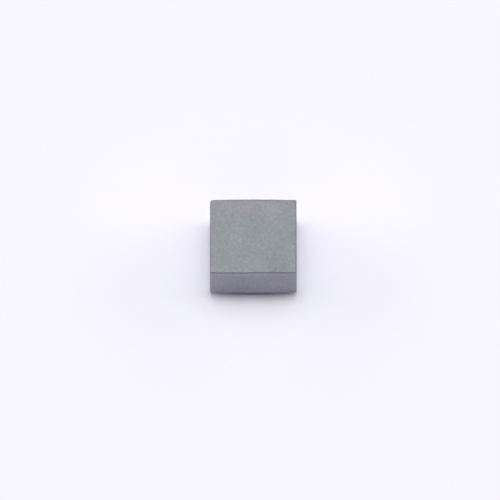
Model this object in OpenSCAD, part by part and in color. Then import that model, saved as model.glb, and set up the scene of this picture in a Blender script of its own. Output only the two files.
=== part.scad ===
// Shielded power inductor for surface mounting, with its terminals underneath.
// A flat-wire coil sits round the post of a pressed T-shaped core. A second pressed
// block, the shell, covers coil and core and closes the magnetic path.
// Millimetres. +Z is up, and Z = 0 is the plane that the terminals are soldered on.

/* [Body] */
// Length of the body, from one terminal side to the other
body_l = 4.0; // [3.8:0.1:5]
// Width of the body, from front to back
body_w = 4.0; // [3.8:0.1:5]
// Height of the body without its terminals
body_h = 1.70; // [1.6:0.05:2.4]
// Radius of three of the upright edges
corner_r = 0.05; // [0.02:0.01:0.2]
// Radius of the upright edge at the back left, which is rounder than the rest
index_corner_r = 0.13; // [0.05:0.01:0.3]
// Radius of the edges round the top face
top_edge_r = 0.05; // [0.02:0.01:0.15]
// Radius of the edges round the underside
foot_edge_r = 0.03; // [0.01:0.01:0.1]

/* [Core] */
// Wall of the shell beside the base plate of the core
wall_t = 0.35; // [0.2:0.05:0.45]
// Thickness of the base plate
base_t = 0.40; // [0.36:0.02:0.5]
// Radius of the base plate's upright edges
base_corner_r = 0.20; // [0.05:0.05:0.3]
// Diameter of the centre post
post_d = 1.50; // [1:0.05:1.6]
// How far the post reaches above the coil, into the roof of the shell
post_rise = 0.06; // [0.02:0.01:0.12]
// Chamfer round the top of the post
post_chamfer = 0.05; // [0.01:0.01:0.1]

/* [Winding] */
// Full turns of the coil, which has a half turn more
full_turns = 5; // [3:1:6]
// Width of the flat wire, measured along the radius
wire_w = 0.65; // [0.4:0.05:0.75]
// Thickness of the flat wire
wire_t = 0.12; // [0.08:0.01:0.14]
// Rounding of the rolled edges of the wire
wire_edge = 0.03; // [0.01:0.005:0.035]
// Insulation between one turn and the next
turn_gap = 0.006; // [0.002:0.002:0.02]
// Inside radius of the bends in the wire's tails
bend_r = 0.10; // [0.05:0.01:0.12]
// Length of the tails that lies flat under the base plate
foot_l = 2.60; // [1:0.1:3]

/* [Terminals] */
// How far a terminal reaches inward past the wire's tail that it covers
terminal_lap = 0.02; // [0:0.01:0.1]
// Length of a terminal, measured across the body
terminal_l = 3.50; // [2:0.1:3.7]
// Thickness of a terminal, by which it holds the body off the board
terminal_t = 0.15; // [0.05:0.01:0.2]
// Distance of a terminal from the end face of the body
terminal_inset = 0.10; // [0.05:0.05:0.2]
// Radius of a terminal's corners
terminal_corner_r = 0.10; // [0.05:0.01:0.3]

/* [Fits] */
// Room left between pieces that fit inside one another
fit = 0.02; // [0.01:0.005:0.03]
// Room left round the outside of the coil
coil_room = 0.04; // [0.04:0.01:0.08]

/* [Hidden] */

// Length by which a cut runs out past a face
OVERCUT = 1;
// Facets of a full circle, and steps of the wire's sweep
ROUND = 96;
SMALL_ROUND = 32;
TURN_STEPS = 36;
BEND_STEPS = 6;

// Heights
underside_z = terminal_t;
base_top_z = underside_z + base_t;

// Base plate
base_l = body_l - 2 * wall_t;
base_w = body_w - 2 * wall_t;

// Coil: the pitch lets the turn that passes over a tail clear it
coil_in_r = post_d / 2 + fit;
coil_out_r = coil_in_r + wire_w;
coil_mid_r = (coil_in_r + coil_out_r) / 2;
turns = full_turns + 1 / 2;
tail_crossing = (180 + acos(-coil_in_r / coil_out_r)) / 360;
pitch = (wire_t + turn_gap) / tail_crossing;
first_z = base_top_z + fit + wire_t / 2;
last_z = first_z + turns * pitch;
coil_top_z = last_z + wire_t / 2;
post_top_z = coil_top_z + fit + post_rise;

// Tails: down the back edge of the base plate, then forward beneath it
tail_inside_r = min(bend_r, (base_t - wire_t) / 2);
tail_r = tail_inside_r + wire_t / 2;
tail_y = base_w / 2 - wire_t / 2;
bend_y = tail_y - tail_r;
foot_z = underside_z + wire_t / 2;
foot_end_y = tail_y - foot_l;

// Terminals: the inner edge follows the wire, and the outer edge follows the body
terminal_in_x = coil_in_r - terminal_lap;
terminal_out_x = body_l / 2 - terminal_inset;
terminal_w = terminal_out_x - terminal_in_x;

// ---- outlines -------------------------------------------------------------

// Rectangle round the origin whose corners have their own radii, given
// anticlockwise from the right of the +Y side
module rounded_outline(size, radii) {
    signs = [[1, 1], [-1, 1], [-1, -1], [1, -1]];
    difference() {
        square(size, center = true);
        for (i = [0:3])
            translate([signs[i].x * (size.x - radii[i]) / 2, signs[i].y * (size.y - radii[i]) / 2])
                square(radii[i], center = true);
    }
    for (i = [0:3])
        translate([signs[i].x * (size.x / 2 - radii[i]), signs[i].y * (size.y / 2 - radii[i])])
            circle(r = radii[i], $fn = SMALL_ROUND);
}

// Block standing on Z = 0: each pair of opposite faces is joined by round edges
module rounded_block(size, upright_radii, upper_r, lower_r) {
    side_radii = [upper_r, upper_r, lower_r, lower_r];
    intersection() {
        linear_extrude(size.z) rounded_outline([size.x, size.y], upright_radii);
        translate([0, size.y / 2, size.z / 2]) rotate([90, 0, 0])
            linear_extrude(size.y) rounded_outline([size.x, size.z], side_radii);
        translate([-size.x / 2, 0, size.z / 2]) rotate([90, 0, 90])
            linear_extrude(size.x) rounded_outline([size.y, size.z], side_radii);
    }
}

// ---- room for the winding -------------------------------------------------

// Corner of a tail's room, with the bend's centre at the origin
module bend_room(side) {
    reach = tail_r + wire_t / 2 + fit;
    difference() {
        translate([0, side > 0 ? 0 : -reach]) square(reach);
        circle(r = tail_inside_r - fit, $fn = SMALL_ROUND);
    }
}

// Side view of the room for a tail that leaves the coil at height tail_z
module tail_room_outline(tail_z) {
    room = wire_t + 2 * fit;
    upper = tail_z - tail_r;
    lower = foot_z + tail_r;
    translate([0, tail_z - room / 2]) square([bend_y, room]);
    translate([bend_y, upper]) bend_room(1);
    translate([tail_y - room / 2, lower]) square([room, upper - lower]);
    translate([bend_y, lower]) bend_room(-1);
    translate([foot_end_y - fit, foot_z - room / 2]) square([bend_y - foot_end_y + fit, room]);
}

module tail_room(side, tail_z) {
    room_w = wire_w + 2 * fit;
    translate([side * coil_mid_r - room_w / 2, 0, 0]) rotate([90, 0, 90])
        linear_extrude(room_w) tail_room_outline(tail_z);
}

module tail_rooms() {
    tail_room(-1, first_z);
    tail_room(1, last_z);
}

// ---- pieces ---------------------------------------------------------------

module base_plate(height, growth) {
    radius = base_corner_r + growth;
    linear_extrude(height)
        rounded_outline([base_l + 2 * growth, base_w + 2 * growth], [for (i = [0:3]) radius]);
}

module shell() {
    color([0.58, 0.60, 0.62])
    difference() {
        translate([0, 0, underside_z])
            rounded_block([body_l, body_w, body_h],
                [corner_r, index_corner_r, corner_r, corner_r], top_edge_r, foot_edge_r);
        translate([0, 0, underside_z - OVERCUT])
            base_plate(base_t + OVERCUT, fit);
        translate([0, 0, underside_z])
            cylinder(r = coil_out_r + coil_room, h = coil_top_z + fit - underside_z, $fn = ROUND);
        translate([0, 0, underside_z])
            cylinder(r = post_d / 2 + fit, h = post_top_z - underside_z, $fn = ROUND);
        tail_rooms();
    }
}

module t_core() {
    shaft_h = post_top_z - post_chamfer - base_top_z;
    color([0.42, 0.43, 0.45]) {
        difference() {
            translate([0, 0, underside_z]) base_plate(base_t, 0);
            tail_rooms();
        }
        translate([0, 0, base_top_z]) {
            cylinder(d = post_d, h = shaft_h, $fn = ROUND);
            translate([0, 0, shaft_h])
                cylinder(d1 = post_d, d2 = post_d - 2 * post_chamfer, h = post_chamfer, $fn = ROUND);
        }
    }
}

// One stop of the wire: its centre, the direction of its width and its heading
function coil_stop(angle, z) =
    [[coil_mid_r * cos(angle), coil_mid_r * sin(angle), z],
     [cos(angle), sin(angle), 0],
     [-sin(angle), cos(angle), 0]];

coil_stops = [for (i = [0:turns * TURN_STEPS])
    coil_stop(180 + 360 * i / TURN_STEPS, first_z + pitch * i / TURN_STEPS)];

// Stops of a tail from the coil to its end, as height, distance back and heading
function bend_stops(z, from) =
    [for (i = [0:BEND_STEPS]) let (a = from - 90 * i / BEND_STEPS)
        [bend_y + tail_r * cos(a), z + tail_r * sin(a), [0, sin(a), -cos(a)]]];

function tail_line(tail_z) = concat(
    bend_stops(tail_z - tail_r, 90),
    bend_stops(foot_z + tail_r, 0),
    [[foot_end_y, foot_z, [0, -1, 0]]]);

function tail_stops(side, tail_z) =
    [for (p = tail_line(tail_z)) [[side * coil_mid_r, p[0], p[1]], [side, 0, 0], side * p[2]]];

function reversed(list) = [for (i = [len(list) - 1:-1:0]) list[i]];

// Cross-section of the flat wire as [across, through] pairs
wire_section = let (w = wire_w / 2, t = wire_t / 2, e = wire_edge)
    [[w, t - e], [w - e, t], [e - w, t], [-w, t - e], [-w, e - t], [e - w, -t], [w - e, -t], [w, e - t]];

function wire_ring(stop) =
    [for (p = wire_section) stop[0] + p.x * stop[1] + p.y * cross(stop[1], stop[2])];

module winding() {
    stops = concat(reversed(tail_stops(-1, first_z)), coil_stops, tail_stops(1, last_z));
    sides = len(wire_section);
    last = len(stops) - 1;
    walls = [for (i = [0:last - 1], j = [0:sides - 1]) let (k = (j + 1) % sides)
        [i * sides + j, i * sides + k, (i + 1) * sides + k, (i + 1) * sides + j]];
    color([0.72, 0.40, 0.20])
    polyhedron(
        points = [for (stop = stops) each wire_ring(stop)],
        faces = concat(walls,
            [[for (j = [sides - 1:-1:0]) j]],
            [[for (j = [0:sides - 1]) last * sides + j]]));
}

// Plate whose lower face is soldered and whose upper face is flat on the body
module terminal(side) {
    radii = [for (i = [0:3]) terminal_corner_r];
    color([0.80, 0.80, 0.82])
    translate([side * (terminal_in_x + terminal_out_x) / 2, 0, 0])
        linear_extrude(terminal_t) rounded_outline([terminal_w, terminal_l], radii);
}

module terminal_left() {
    terminal(-1);
}

module terminal_right() {
    terminal(1);
}

shell();
t_core();
winding();
terminal_left();
terminal_right();
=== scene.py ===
"""Looks of the shielded power inductor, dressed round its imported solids.

The pressed shell and the tinned terminals are modelled again as fine meshes with their
grain, soft edges and small flaws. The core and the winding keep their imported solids.
"""

import math

import bmesh
import bpy
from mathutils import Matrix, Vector, noise

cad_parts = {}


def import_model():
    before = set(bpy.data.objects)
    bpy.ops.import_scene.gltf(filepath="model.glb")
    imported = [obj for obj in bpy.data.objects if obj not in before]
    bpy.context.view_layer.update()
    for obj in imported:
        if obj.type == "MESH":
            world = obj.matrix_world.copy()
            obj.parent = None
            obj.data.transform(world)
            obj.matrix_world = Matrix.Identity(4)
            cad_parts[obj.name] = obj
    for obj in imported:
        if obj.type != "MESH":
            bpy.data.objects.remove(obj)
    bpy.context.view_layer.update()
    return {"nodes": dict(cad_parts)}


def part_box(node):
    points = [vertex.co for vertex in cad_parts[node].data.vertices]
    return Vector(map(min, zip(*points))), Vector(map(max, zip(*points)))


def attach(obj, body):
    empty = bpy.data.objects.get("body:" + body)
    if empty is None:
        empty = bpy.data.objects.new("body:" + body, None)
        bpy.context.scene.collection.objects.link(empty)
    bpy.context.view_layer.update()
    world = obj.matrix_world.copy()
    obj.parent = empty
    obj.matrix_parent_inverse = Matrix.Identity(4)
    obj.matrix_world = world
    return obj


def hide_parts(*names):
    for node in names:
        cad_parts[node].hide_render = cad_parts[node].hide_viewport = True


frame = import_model()

MM = 0.001

# ---- sizes, from the frame --------------------------------------------------

SHELL_LOW, SHELL_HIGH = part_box("shell")
BODY_L = SHELL_HIGH.x - SHELL_LOW.x
BODY_W = SHELL_HIGH.y - SHELL_LOW.y
BODY_TOP = SHELL_HIGH.z

# Upright corners in the order of the outline: front left, front right, back right, back left
UPRIGHT_RADII = (0.05 * MM, 0.05 * MM, 0.05 * MM, 0.13 * MM)
TOP_EDGE_R = 0.05 * MM
FOOT_EDGE_R = 0.03 * MM
PAD_CORNER_R = 0.10 * MM
PAD_EDGE_R = 0.03 * MM
# A pad's edge is nearly sharp where it lies against the body
PAD_UPPER_EDGE_R = 0.002 * MM

# The right upper edge is worn to a larger radius, which runs out near the edge's ends
WORN_EDGE_R = 0.09 * MM
WORN_EDGE_RUN_OUT = 0.35 * MM
# How far in from the upper edges they are chipped, and how far in they are burnished and painted darker as
# shade
CHIP_REACH = 0.16 * MM
BURNISH_AND_SHADE_REACH = 0.075 * MM
# The paler band on the sides: how far below the top it is, and how far it spreads
RIM_DROP = 0.14 * MM
RIM_WIDTH = 0.07 * MM
# How far the back face, and the lower part of the front face, stand out in the middle
BOW = 0.03 * MM
# Depth of the swells in a pad's plating, and the size of one
PAD_SWELL = 0.0035 * MM
PAD_SWELL_SIZE = 0.35 * MM

# Small flaws of the pressed top: centre as a share of the half length and width, radius,
# depth, which is negative where it stands up, and how much lighter it is painted: the pits
# are painted darker as shade, and the specks that stand up lighter as a highlight
FLAWS = (
    ((0.531, -0.880), 0.085 * MM, 0.030 * MM, -0.16),
    ((-0.596, -0.067), 0.050 * MM, 0.012 * MM, -0.12),
    ((-0.443, -0.067), 0.045 * MM, 0.012 * MM, -0.12),
    ((0.480, -0.465), 0.075 * MM, 0.010 * MM, -0.09),
    ((0.328, -0.583), 0.065 * MM, 0.012 * MM, -0.12),
    ((-0.945, -0.890), 0.065 * MM, -0.006 * MM, 0.26),
    ((0.388, -0.405), 0.060 * MM, -0.004 * MM, 0.14),
    ((0.018, -0.247), 0.060 * MM, -0.004 * MM, 0.10),
    ((-0.074, -0.861), 0.070 * MM, -0.004 * MM, 0.12),
)
# Where a flaw has ended, in radii from its centre, and how steeply it falls off
FLAW_END = 2.2
FLAW_FALL = 2.2


# ---- mesh code --------------------------------------------------------------


def unit(angle):
    """Unit vector of the plan at an angle in radians."""
    return Vector((math.cos(angle), math.sin(angle)))


def outline(half, radii, steps, corner_steps):
    """Closed outline of a rectangle with round corners, and its outward normals.

    Each side has the same count of steps, and begins and ends halfway round a corner.
    """
    points, normals = [], []
    signs = ((-1, -1), (1, -1), (1, 1), (-1, 1))
    centres = [Vector((s[0] * (half[0] - r), s[1] * (half[1] - r))) for s, r in zip(signs, radii)]
    for side in range(4):
        facing = math.radians(90 * side - 90)
        here, there = centres[side], centres[(side + 1) % 4]
        r_here, r_there = radii[side], radii[(side + 1) % 4]
        for step in range(steps):
            if step < corner_steps:
                turn = facing - math.radians(45) * (1 - step / corner_steps)
                normal = unit(turn)
                point = here + r_here * normal
            elif step > steps - corner_steps:
                turn = facing + math.radians(45) * (step - steps + corner_steps) / corner_steps
                normal = unit(turn)
                point = there + r_there * normal
            else:
                share = (step - corner_steps) / (steps - 2 * corner_steps)
                normal = unit(facing)
                point = (here + r_here * normal).lerp(there + r_there * normal, share)
            points.append(point)
            normals.append(normal)
    return points, normals


def edge_profile(low, high, lower_r, upper_r, rows, edge_rows):
    """Rows of a block's side from its underside to its top: inset, height and tilt of the normal."""
    quarter = math.radians(90)
    profile = []
    for i in range(edge_rows + 1):
        a = quarter * i / edge_rows
        profile.append((lower_r * (1 - math.sin(a)), low + lower_r * (1 - math.cos(a)), a - quarter))
    for i in range(1, rows):
        share = i / rows
        profile.append((0.0, low + lower_r + share * (high - upper_r - low - lower_r), 0.0))
    for i in range(edge_rows + 1):
        a = quarter * i / edge_rows
        profile.append((upper_r * (1 - math.cos(a)), high - upper_r * (1 - math.sin(a)), a))
    return profile


def block_sides(bm, half, radii, profile, steps, corner_steps):
    """Side walls of a rounded block, with their rings of vertices and each vertex's normal."""
    rings = []
    directions = {}
    least_r = 0.004 * MM
    for inset, height, tilt in profile:
        ring_radii = [max(r - inset, least_r) for r in radii]
        points, normals = outline([h - inset for h in half], ring_radii, steps, corner_steps)
        ring = []
        for point, normal in zip(points, normals):
            vertex = bm.verts.new((point.x, point.y, height))
            directions[vertex] = Vector((*(normal * math.cos(tilt)), math.sin(tilt)))
            ring.append(vertex)
        rings.append(ring)
    count = len(rings[0])
    for lower, upper in zip(rings, rings[1:]):
        for i in range(count):
            k = (i + 1) % count
            bm.faces.new((lower[i], lower[k], upper[k], upper[i]))
    return rings, directions


def fill_grid(bm, ring, steps, up, directions):
    """Fills a ring of four equal sides with a grid that follows its outline."""
    front = [ring[i] for i in range(steps + 1)]
    right = [ring[steps + i] for i in range(steps + 1)]
    back = [ring[3 * steps - i] for i in range(steps + 1)]
    left = [ring[(4 * steps - i) % (4 * steps)] for i in range(steps + 1)]
    grid = [[None] * (steps + 1) for _ in range(steps + 1)]
    for i in range(steps + 1):
        grid[0][i], grid[steps][i] = front[i], back[i]
        grid[i][0], grid[i][steps] = left[i], right[i]
    for row in range(1, steps):
        v = row / steps
        for column in range(1, steps):
            u = column / steps
            across = left[row].co.lerp(right[row].co, u) + front[column].co.lerp(back[column].co, v)
            corner = front[0].co.lerp(front[steps].co, u).lerp(back[0].co.lerp(back[steps].co, u), v)
            vertex = bm.verts.new(across - corner)
            directions[vertex] = Vector((0, 0, up))
            grid[row][column] = vertex
    for near, far in zip(grid, grid[1:]):
        for column in range(steps):
            face = [near[column], near[column + 1], far[column + 1], far[column]]
            bm.faces.new(face if up > 0 else face[::-1])


def grain(place, size, seed):
    """Smooth noise with features of about the given size, from -1 to 1."""
    return noise.noise(place / size + Vector((seed, 7.3 * seed, 3.1 * seed)))


def new_piece(name, bm):
    """Turns the mesh under construction into an object of the scene."""
    mesh = bpy.data.meshes.new(name)
    bm.to_mesh(mesh)
    bm.free()
    piece = bpy.data.objects.new(name, mesh)
    bpy.context.scene.collection.objects.link(piece)
    return piece


def smooth(piece):
    """Shades all faces of a piece smoothly."""
    piece.data.polygons.foreach_set("use_smooth", [True] * len(piece.data.polygons))
    return piece


# ---- pieces -----------------------------------------------------------------


def to_faces(place):
    """Distances of a point on the shell from its nearest upright face and from its top."""
    sideways = min(BODY_L / 2 - abs(place.x), BODY_W / 2 - abs(place.y))
    return max(sideways, 0.0), max(BODY_TOP - place.z, 0.0)


def edge_nearness(place, reach):
    """1 on the upper edges of the body, falling to 0 at the reach in from them."""
    return max(0.0, 1.0 - max(to_faces(place)) / reach)


def side_share(place):
    """0 on the top of the body and 1 on its sides."""
    sideways, below = to_faces(place)
    return below / (below + sideways + 0.001 * MM)


def rim_share(place):
    """1 along the paler band on the sides, just below the top."""
    below = to_faces(place)[1]
    return side_share(place) * math.exp(-(((below - RIM_DROP) / RIM_WIDTH) ** 2))


def upper_edge_share(place):
    """How burnished an upper edge is, and how much painted shade darkens it: most at the front, and at the
    right more towards the front.
    """
    near = min(1.0, 2.0 * edge_nearness(place, BURNISH_AND_SHADE_REACH))
    if place.y < -abs(place.x):
        return near
    if place.x > abs(place.y):
        forward = 0.5 - place.y / BODY_W
        return near * (0.6 + 0.6 * forward)
    return near * 0.5


def flaw_reach(place, centre, radius):
    """1 in the middle of a flaw, falling to 0 past its ragged rim."""
    middle = Vector((centre[0] * BODY_L / 2, centre[1] * BODY_W / 2, BODY_TOP))
    away = (place - middle).length / radius
    if away > FLAW_END:
        return 0.0
    ragged = 1.0 + 0.35 * grain(place, radius, seed=5.0)
    return math.exp(-FLAW_FALL * (away * ragged) ** 2)


def flaw_depth(place):
    """How far the flaws sink the surface at a point."""
    return sum(depth * flaw_reach(place, centre, radius) for centre, radius, depth, _ in FLAWS)


def flaw_painted_light(place):
    """How much painted light the flaws add at a point: painted shade darkens the pits, and a painted
    highlight lightens the specks that stand up.
    """
    return sum(shade * flaw_reach(place, centre, radius) for centre, radius, _, shade in FLAWS)


def press_relief(place):
    """Height of the pressed surface over its ideal form."""
    swell = 0.0040 * MM * grain(place, 0.90 * MM, seed=1.0)
    lumps = 0.0030 * MM * grain(place, 0.22 * MM, seed=2.0)
    grains = 0.0022 * MM * grain(place, 0.075 * MM, seed=3.0)
    chips = 0.008 * MM * edge_nearness(place, CHIP_REACH) * (grain(place, 0.20 * MM, seed=4.0) - 0.4)
    return swell + lumps + grains + chips


def wear_edge(vertex):
    """Moves a vertex of the right upper edge in to the worn edge's larger radius, less near its ends."""
    centre = Vector((BODY_L / 2 - WORN_EDGE_R, BODY_TOP - WORN_EDGE_R))
    over = Vector((vertex.co.x, vertex.co.z)) - centre
    if over.x > 0 and over.y > 0 and over.length > WORN_EDGE_R:
        share = min(1.0, (BODY_W / 2 - abs(vertex.co.y)) / WORN_EDGE_RUN_OUT)
        move = (WORN_EDGE_R - over.length) * share * over.normalized()
        vertex.co.x += move.x
        vertex.co.z += move.y


def bow(vertex):
    """Moves a vertex of the back or front outward, most in the middle of the face."""
    across, along = vertex.co.x / (BODY_L / 2), vertex.co.y / (BODY_W / 2)
    amount = BOW * along ** 2 * max(0.0, 1.0 - across ** 2)
    if along > 0:
        vertex.co.y += amount
    else:
        vertex.co.y -= amount * (BODY_TOP - vertex.co.z) / (BODY_TOP - SHELL_LOW.z)


def inner_walls(bm, node):
    """Adds the pocket faces of a CAD node: all that lie well inside its outer faces."""
    low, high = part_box(node)
    wall = 0.2 * MM
    roof = 0.1 * MM
    flat = 0.002 * MM
    same_place = 0.00002 * MM
    bm.from_mesh(frame["nodes"][node].data)
    bmesh.ops.remove_doubles(bm, verts=bm.verts, dist=same_place)
    outside = []
    for face in bm.faces:
        middle = face.calc_center_median()
        on_side = abs(middle.x) > high.x - wall or abs(middle.y) > high.y - wall
        on_top = middle.z > high.z - roof
        on_underside = middle.z < low.z + flat and face.normal.z < -0.9
        if on_side or on_top or on_underside:
            outside.append(face)
    bmesh.ops.delete(bm, geom=outside, context="FACES")
    # A face of no thickness shares its edges with the walls on both of its sides
    doubled = [f for f in bm.faces if sum(len(e.link_faces) > 2 for e in f.edges) > 1]
    bmesh.ops.delete(bm, geom=doubled, context="FACES")
    loose = [v for v in bm.verts if not v.link_faces]
    bmesh.ops.delete(bm, geom=loose, context="VERTS")


def pressed_shell():
    """The body: a pressed block with grain, worn edges and small pits, open below for its core."""
    steps, corner_steps, rows, edge_rows = 156, 3, 66, 4
    bm = bmesh.new()
    inner_walls(bm, "shell")
    pocket_rim = [e for e in bm.edges if e.is_boundary]
    profile = edge_profile(SHELL_LOW.z, SHELL_HIGH.z, FOOT_EDGE_R, TOP_EDGE_R, rows, edge_rows)
    half = (BODY_L / 2, BODY_W / 2)
    rings, directions = block_sides(bm, half, UPRIGHT_RADII, profile, steps, corner_steps)
    fill_grid(bm, rings[-1], steps, 1, directions)
    for vertex in rings[0]:
        del directions[vertex]
    for vertex, direction in directions.items():
        wear_edge(vertex)
        place = vertex.co.copy()
        # The relief fades out at the foot, which stays flat
        rough = min(1.0, max(0.0, (place.z - SHELL_LOW.z) / (2 * FOOT_EDGE_R)))
        vertex.co += direction * (rough * press_relief(place) - flaw_depth(place))
        bow(vertex)
    foot_rim = [e for e in bm.edges if e.is_boundary and e not in pocket_rim]
    bmesh.ops.bridge_loops(bm, edges=pocket_rim + foot_rim)
    bmesh.ops.recalc_face_normals(bm, faces=bm.faces)
    return smooth(new_piece("pressed_shell", bm))


def solder_pad(name, node):
    """A tinned terminal: a thin plate with soft edges and the slight swell of its plating."""
    low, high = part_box(node)
    steps, corner_steps, rows, edge_rows = 60, 3, 3, 4
    half = ((high.x - low.x) / 2, (high.y - low.y) / 2)
    middle = Vector(((low.x + high.x) / 2, (low.y + high.y) / 2, 0))
    bm = bmesh.new()
    profile = edge_profile(low.z, high.z, PAD_EDGE_R, PAD_UPPER_EDGE_R, rows, edge_rows)
    rings, directions = block_sides(bm, half, [PAD_CORNER_R] * 4, profile, steps, corner_steps)
    fill_grid(bm, rings[-1], steps, 1, directions)
    fill_grid(bm, rings[0], steps, -1, directions)
    for vertex, direction in directions.items():
        vertex.co += middle
        if vertex.co.z < high.z - 5 * PAD_UPPER_EDGE_R:
            dimple = 0.5 + 0.5 * grain(vertex.co, PAD_SWELL_SIZE, seed=8.0)
            vertex.co -= direction * PAD_SWELL * dimple
    bmesh.ops.recalc_face_normals(bm, faces=bm.faces)
    return smooth(new_piece(name, bm))


# ---- materials --------------------------------------------------------------


class Shader:
    """A node material under construction, with short calls for the nodes it uses."""

    def __init__(self, name):
        self.material = bpy.data.materials.new(name)
        self.material.use_nodes = True
        self.tree = self.material.node_tree
        self.surface = self.tree.nodes["Principled BSDF"]

    def add(self, kind, **settings):
        node = self.tree.nodes.new(kind)
        for key, value in settings.items():
            setattr(node, key, value)
        return node

    def link(self, output, socket):
        self.tree.links.new(output, socket)

    def set(self, **values):
        for key, value in values.items():
            self.surface.inputs[key.replace("_", " ")].default_value = value

    def place_mm(self):
        """Object coordinates in millimetres."""
        where = self.add("ShaderNodeTexCoord")
        scaled = self.add("ShaderNodeVectorMath", operation="SCALE")
        scaled.inputs["Scale"].default_value = 1 / MM
        self.link(where.outputs["Object"], scaled.inputs[0])
        return scaled.outputs[0]

    def noise(self, place, per_mm, detail=2.0, roughness=0.5):
        node = self.add("ShaderNodeTexNoise")
        node.inputs["Scale"].default_value = per_mm
        node.inputs["Detail"].default_value = detail
        node.inputs["Roughness"].default_value = roughness
        self.link(place, node.inputs["Vector"])
        return node.outputs["Fac"]

    def spots(self, place, per_mm, radius, share):
        """1 inside sparse round spots: radius is in cells, and share is how many cells have one."""
        cells = self.add("ShaderNodeTexVoronoi", feature="F1")
        cells.inputs["Scale"].default_value = per_mm
        self.link(place, cells.inputs["Vector"])
        inside = self.remap(cells.outputs["Distance"], (radius, 0.5 * radius), (0.0, 1.0))
        pick = self.add("ShaderNodeSeparateColor")
        self.link(cells.outputs["Color"], pick.inputs["Color"])
        chosen = self.math("LESS_THAN", pick.outputs[0], share)
        return self.math("MULTIPLY", inside, chosen)

    def math(self, operation, a, b):
        node = self.add("ShaderNodeMath", operation=operation)
        for socket, value in zip(node.inputs, (a, b)):
            if isinstance(value, (int, float)):
                socket.default_value = value
            else:
                self.link(value, socket)
        return node.outputs[0]

    def remap(self, value, given, wanted):
        """Carries one range of values over to another, and holds them at its ends."""
        node = self.add("ShaderNodeMapRange", interpolation_type="SMOOTHSTEP")
        ends = dict(zip(("From Min", "From Max", "To Min", "To Max"), (*given, *wanted)))
        for key, number in ends.items():
            node.inputs[key].default_value = number
        self.link(value, node.inputs["Value"])
        return node.outputs["Result"]

    def attribute(self, name):
        return self.add("ShaderNodeAttribute", attribute_name=name).outputs["Fac"]

    def mix(self, factor, a, b):
        node = self.add("ShaderNodeMix", data_type="RGBA")
        for socket, value in ((node.inputs[0], factor), (node.inputs[6], a), (node.inputs[7], b)):
            if isinstance(value, (int, float, tuple)):
                socket.default_value = value
            else:
                self.link(value, socket)
        return node.outputs[2]

    def tinted(self, colour, brightness):
        """The colour times a brightness that varies."""
        node = self.add("ShaderNodeVectorMath", operation="SCALE")
        self.link(brightness, node.inputs["Scale"])
        if isinstance(colour, tuple):
            node.inputs[0].default_value = colour
        else:
            self.link(colour, node.inputs[0])
        return node.outputs[0]

    def bump(self, height, distance):
        node = self.add("ShaderNodeBump")
        node.inputs["Distance"].default_value = distance
        self.link(height, node.inputs["Height"])
        self.link(node.outputs["Normal"], self.surface.inputs["Normal"])


def rgba(colour):
    return (*colour, 1.0)


# How much the specks darken the pressed body, and its bright grains and pale band lighten it
SPECK_SHADE = 0.14
GRAIN_SHADE = 0.13
RIM_SHADE = 0.09
# How much painted shade darkens its upper edges, and how much smoother their burnish makes them
EDGE_PAINTED_SHADE = 0.34
BURNISH_SMOOTHING = 0.12
# The pressed composite varies between two greys on its top. Its sides are painted bluer, a painted
# reflection of the pale lavender floor
TOP_COOL = (0.231, 0.257, 0.261)
TOP_WARM = (0.256, 0.264, 0.270)
SIDE_PAINTED_REFLECTION = (0.262, 0.258, 0.304)
CORE_COLOUR = (0.19, 0.195, 0.21)
ENAMEL_COLOUR = (0.62, 0.27, 0.12)
TIN_COLOUR = (0.72, 0.715, 0.72)


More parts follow.
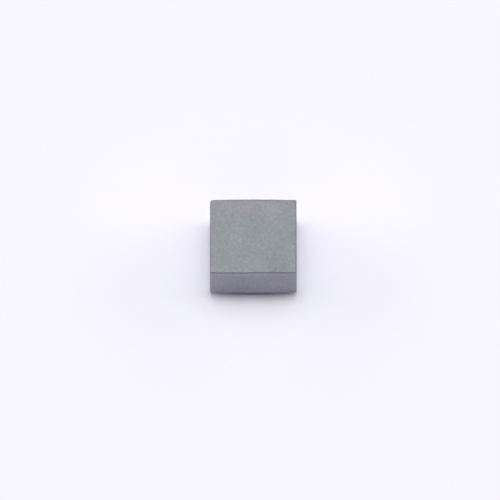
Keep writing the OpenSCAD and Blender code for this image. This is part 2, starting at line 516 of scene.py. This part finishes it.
def pressed_composite():
    """Iron-alloy powder and resin, pressed: grey, mottled, with dark specks and bright grains."""
    m = Shader("pressed_composite")
    place = m.place_mm()
    blotches = m.remap(m.noise(place, per_mm=0.9), (0.25, 0.75), (0.94, 1.06))
    mottle = m.remap(m.noise(place, per_mm=6.0, detail=3.0, roughness=0.6), (0.25, 0.75), (0.91, 1.09))
    fine = m.remap(m.noise(place, per_mm=19.0), (0.2, 0.8), (0.91, 1.09))
    dark = m.spots(place, per_mm=4.2, radius=0.20, share=0.22)
    bright = m.spots(place, per_mm=9.0, radius=0.16, share=0.10)
    level = m.math("MULTIPLY", m.math("MULTIPLY", blotches, mottle), fine)
    level = m.math("SUBTRACT", level, m.math("MULTIPLY", dark, SPECK_SHADE))
    level = m.math("ADD", level, m.math("MULTIPLY", bright, GRAIN_SHADE))
    # Painted shade in the pits of the flaws, and a painted highlight on their raised specks
    level = m.math("ADD", level, m.attribute("flaw"))
    level = m.math("ADD", level, m.math("MULTIPLY", m.attribute("rim"), RIM_SHADE))
    upper_edge = m.attribute("upper_edge")
    # Painted shade: the upper edges are painted darker, most at the front
    edge_unshaded = m.math("SUBTRACT", 1.0, m.math("MULTIPLY", upper_edge, EDGE_PAINTED_SHADE))
    level = m.math("MULTIPLY", level, edge_unshaded)
    half_mm = BODY_W / (2 * MM)
    parts = m.add("ShaderNodeSeparateXYZ")
    m.link(place, parts.inputs[0])
    back = parts.outputs["Y"]
    # Painted shade: the body is painted slightly darker towards its front than towards its back
    level = m.math("MULTIPLY", level, m.remap(back, (-half_mm, 0.1 * half_mm), (0.96, 1.01)))
    warmth = m.math("ADD", m.noise(place, per_mm=2.6), m.remap(back, (0.4 * half_mm, half_mm), (-0.1, 0.9)))
    top = m.mix(warmth, rgba(TOP_COOL), rgba(TOP_WARM))
    # Painted reflection: the sides are painted in the bluer colour of the floor that they reflect
    colour = m.mix(m.attribute("side"), top, rgba(SIDE_PAINTED_REFLECTION))
    m.link(m.tinted(colour, level), m.surface.inputs["Base Color"])
    rough = m.remap(m.noise(place, per_mm=8.0), (0.3, 0.7), (0.46, 0.62))
    burnished = m.math("MULTIPLY", upper_edge, BURNISH_SMOOTHING)
    m.link(m.math("SUBTRACT", rough, burnished), m.surface.inputs["Roughness"])
    m.set(Metallic=0.45)
    grit = m.math("MULTIPLY", m.noise(place, per_mm=60.0, detail=1.0), 0.4)
    grains = m.noise(place, per_mm=26.0, detail=3.0, roughness=0.6)
    m.bump(m.math("ADD", grains, grit), distance=0.004 * MM)
    return m.material


def core_composite():
    """The core's darker, finer powder."""
    m = Shader("core_composite")
    place = m.place_mm()
    mottle = m.remap(m.noise(place, per_mm=7.0, detail=3.0, roughness=0.6), (0.25, 0.75), (0.85, 1.15))
    dark = m.spots(place, per_mm=6.0, radius=0.18, share=0.25)
    level = m.math("SUBTRACT", mottle, m.math("MULTIPLY", dark, 0.25))
    m.link(m.tinted(CORE_COLOUR, level), m.surface.inputs["Base Color"])
    rough = m.remap(m.noise(place, per_mm=9.0), (0.3, 0.7), (0.5, 0.68))
    m.link(rough, m.surface.inputs["Roughness"])
    m.set(Metallic=0.35)
    m.bump(m.noise(place, per_mm=30.0, detail=3.0, roughness=0.6), distance=0.004 * MM)
    return m.material


def enamelled_copper():
    """Copper wire under clear amber enamel."""
    m = Shader("enamelled_copper")
    place = m.place_mm()
    streaks = m.remap(m.noise(place, per_mm=3.0), (0.3, 0.7), (0.85, 1.1))
    m.link(m.tinted(ENAMEL_COLOUR, streaks), m.surface.inputs["Base Color"])
    rough = m.remap(m.noise(place, per_mm=12.0), (0.3, 0.7), (0.24, 0.36))
    m.link(rough, m.surface.inputs["Roughness"])
    m.set(Metallic=1.0, Coat_Weight=0.7, Coat_Roughness=0.12)
    m.bump(m.noise(place, per_mm=14.0), distance=0.001 * MM)
    return m.material


def tinned_copper():
    """Matte tin plating, with soft grains and faint clouding."""
    m = Shader("tinned_copper")
    place = m.place_mm()
    cloud = m.remap(m.noise(place, per_mm=1.8, detail=3.0), (0.3, 0.7), (0.90, 1.04))
    grains = m.remap(m.noise(place, per_mm=16.0), (0.25, 0.75), (0.94, 1.06))
    colour = m.tinted(TIN_COLOUR, m.math("MULTIPLY", cloud, grains))
    m.link(colour, m.surface.inputs["Base Color"])
    rough = m.remap(m.noise(place, per_mm=6.0), (0.3, 0.7), (0.30, 0.46))
    m.link(rough, m.surface.inputs["Roughness"])
    m.set(Metallic=1.0)
    m.bump(m.noise(place, per_mm=20.0), distance=0.0015 * MM)
    return m.material


def dress(piece, material):
    piece.data.materials.clear()
    piece.data.materials.append(material)


def mark(piece, name, measure):
    """Stores a measure of each vertex's place on the piece, for its material to read."""
    marks = piece.data.attributes.new(name, "FLOAT", "POINT")
    marks.data.foreach_set("value", [measure(v.co) for v in piece.data.vertices])


shell = pressed_shell()
mark(shell, "side", side_share)
mark(shell, "rim", rim_share)
mark(shell, "upper_edge", upper_edge_share)
mark(shell, "flaw", flaw_painted_light)
dress(shell, pressed_composite())
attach(shell, "root")
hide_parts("shell")

tin = tinned_copper()
for side in ("left", "right"):
    pad = solder_pad("solder_pad_" + side, "terminal_" + side)
    dress(pad, tin)
    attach(pad, "root")
    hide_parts("terminal_" + side)

dress(frame["nodes"]["t_core"], core_composite())
dress(frame["nodes"]["winding"], enamelled_copper())


# ---- studio -----------------------------------------------------------------

BACKDROP = (0.939, 0.925, 0.995)
VIEW_ELEVATION = math.radians(57.8)
# How far off the camera is, and how much the picture spans at that distance
VIEW_DISTANCE = 125 * BODY_L
VIEW_WIDTH = 5.775 * BODY_L
# The point that the view is centred on, a little to the left of the part's middle
AIM = Vector((-0.152 * MM, 0, 0.655 * MM))
SENSOR = 36.0
LIGHT_DISTANCE = 300 * MM
# The lamps are slightly bluer than white
LIGHT_COLOUR = (1, 1, 1.045)
# Azimuths of lights behind the part and in front of it
BEHIND = 90
IN_FRONT = 270
# Faint light of the room from all sides
ROOM_COLOUR = (0.97, 0.95, 1.0)
ROOM_LEVEL = 0.05
FLOOR_RADIUS = 60 * MM
# Distances between which the floor turns into the plain backdrop
FADE_FROM, FADE_TO = 6 * MM, 12 * MM


def towards(azimuth, elevation):
    """Unit vector for an azimuth from +X towards +Y and an elevation, in degrees."""
    a, e = math.radians(azimuth), math.radians(elevation)
    return Vector((math.cos(a) * math.cos(e), math.sin(a) * math.cos(e), math.sin(e)))


def softbox(name, azimuth, elevation, width, height, level):
    """A soft panel light, whose width and height are the degrees that it fills as seen from the part.

    Level is the light that it gives a surface facing it, where 1 shows a white surface as white.
    """
    lamp = bpy.data.lights.new(name, "AREA")
    lamp.shape = "RECTANGLE"
    lamp.size = 2 * LIGHT_DISTANCE * math.tan(math.radians(width) / 2)
    lamp.size_y = 2 * LIGHT_DISTANCE * math.tan(math.radians(height) / 2)
    lamp.energy = level * (math.pi * LIGHT_DISTANCE) ** 2
    lamp.color = LIGHT_COLOUR
    panel = bpy.data.objects.new(name, lamp)
    away = towards(azimuth, elevation)
    panel.location = LIGHT_DISTANCE * away
    panel.rotation_euler = away.to_track_quat("Z", "Y").to_euler()
    panel.visible_camera = False
    bpy.context.scene.collection.objects.link(panel)


def world():
    """A faint light from all sides, and a plain pale backdrop that the camera sees past the floor.

    Reflections see the faint light and the lamps, not the backdrop, so the upper front edge stays dark.
    """
    sky = bpy.data.worlds.new("studio")
    sky.use_nodes = True
    tree = sky.node_tree
    room = tree.nodes["Background"]
    room.inputs["Color"].default_value = rgba(ROOM_COLOUR)
    room.inputs["Strength"].default_value = ROOM_LEVEL
    plain = tree.nodes.new("ShaderNodeBackground")
    plain.inputs["Color"].default_value = rgba(BACKDROP)
    rays = tree.nodes.new("ShaderNodeLightPath")
    either = tree.nodes.new("ShaderNodeMath")
    either.operation = "MAXIMUM"
    tree.links.new(rays.outputs["Is Camera Ray"], either.inputs[0])
    tree.links.new(rays.outputs["Is Transmission Ray"], either.inputs[1])
    mix = tree.nodes.new("ShaderNodeMixShader")
    tree.links.new(either.outputs[0], mix.inputs[0])
    tree.links.new(room.outputs[0], mix.inputs[1])
    tree.links.new(plain.outputs[0], mix.inputs[2])
    tree.links.new(mix.outputs[0], tree.nodes["World Output"].inputs[0])
    bpy.context.scene.world = sky


def floor():
    """A round pale floor, which turns into the plain backdrop away from the part."""
    bm = bmesh.new()
    bmesh.ops.create_circle(bm, cap_ends=True, segments=96, radius=FLOOR_RADIUS)
    ground = new_piece("floor", bm)
    m = Shader("floor")
    m.set(Roughness=0.9)
    m.surface.inputs["Base Color"].default_value = rgba(BACKDROP)
    m.surface.inputs["Specular IOR Level"].default_value = 0.0
    glow = m.add("ShaderNodeEmission")
    glow.inputs["Color"].default_value = rgba(BACKDROP)
    where = m.add("ShaderNodeTexCoord")
    length = m.add("ShaderNodeVectorMath", operation="LENGTH")
    m.link(where.outputs["Object"], length.inputs[0])
    far = m.remap(length.outputs["Value"], (FADE_FROM, FADE_TO), (0.0, 1.0))
    rays = m.add("ShaderNodeLightPath")
    seen = m.math("MULTIPLY", far, rays.outputs["Is Camera Ray"])
    mix = m.add("ShaderNodeMixShader")
    m.link(seen, mix.inputs[0])
    m.link(m.surface.outputs[0], mix.inputs[1])
    m.link(glow.outputs[0], mix.inputs[2])
    m.link(mix.outputs[0], m.tree.nodes["Material Output"].inputs["Surface"])
    dress(ground, m.material)


def camera():
    """A long lens from the front and above."""
    lens = bpy.data.cameras.new("camera")
    lens.sensor_width = SENSOR
    lens.lens = SENSOR * VIEW_DISTANCE / VIEW_WIDTH
    lens.clip_start = 0.02 * VIEW_DISTANCE
    lens.clip_end = 10 * VIEW_DISTANCE
    view = bpy.data.objects.new("camera", lens)
    back = Vector((0, -math.cos(VIEW_ELEVATION), math.sin(VIEW_ELEVATION)))
    view.location = AIM + VIEW_DISTANCE * back
    view.rotation_euler = (math.radians(90) - VIEW_ELEVATION, 0, 0)
    bpy.context.scene.collection.objects.link(view)
    bpy.context.scene.camera = view


camera()
world()
floor()
softbox("overhead", BEHIND, elevation=84, width=12, height=12, level=0.155)
softbox("back_high", BEHIND, elevation=76, width=30, height=12, level=0.15)
softbox("back_mid", BEHIND, elevation=66, width=50, height=12, level=0.085)
softbox("back_low", BEHIND, elevation=50, width=60, height=22, level=0.165)
softbox("front_low", IN_FRONT, elevation=6, width=90, height=10, level=0.69)
for name, side in (("left", 1), ("right", -1)):
    softbox("high_" + name, BEHIND + 80 * side, elevation=70, width=20, height=20, level=0.10)
    softbox("low_back_" + name, BEHIND + 38 * side, elevation=12, width=40, height=18, level=0.20)
    softbox("low_" + name, BEHIND + 76 * side, elevation=12, width=30, height=18, level=0.27)
    softbox("mid_" + name, BEHIND + 78 * side, elevation=40, width=26, height=38, level=0.095)

bpy.context.scene.view_settings.view_transform = "Standard"
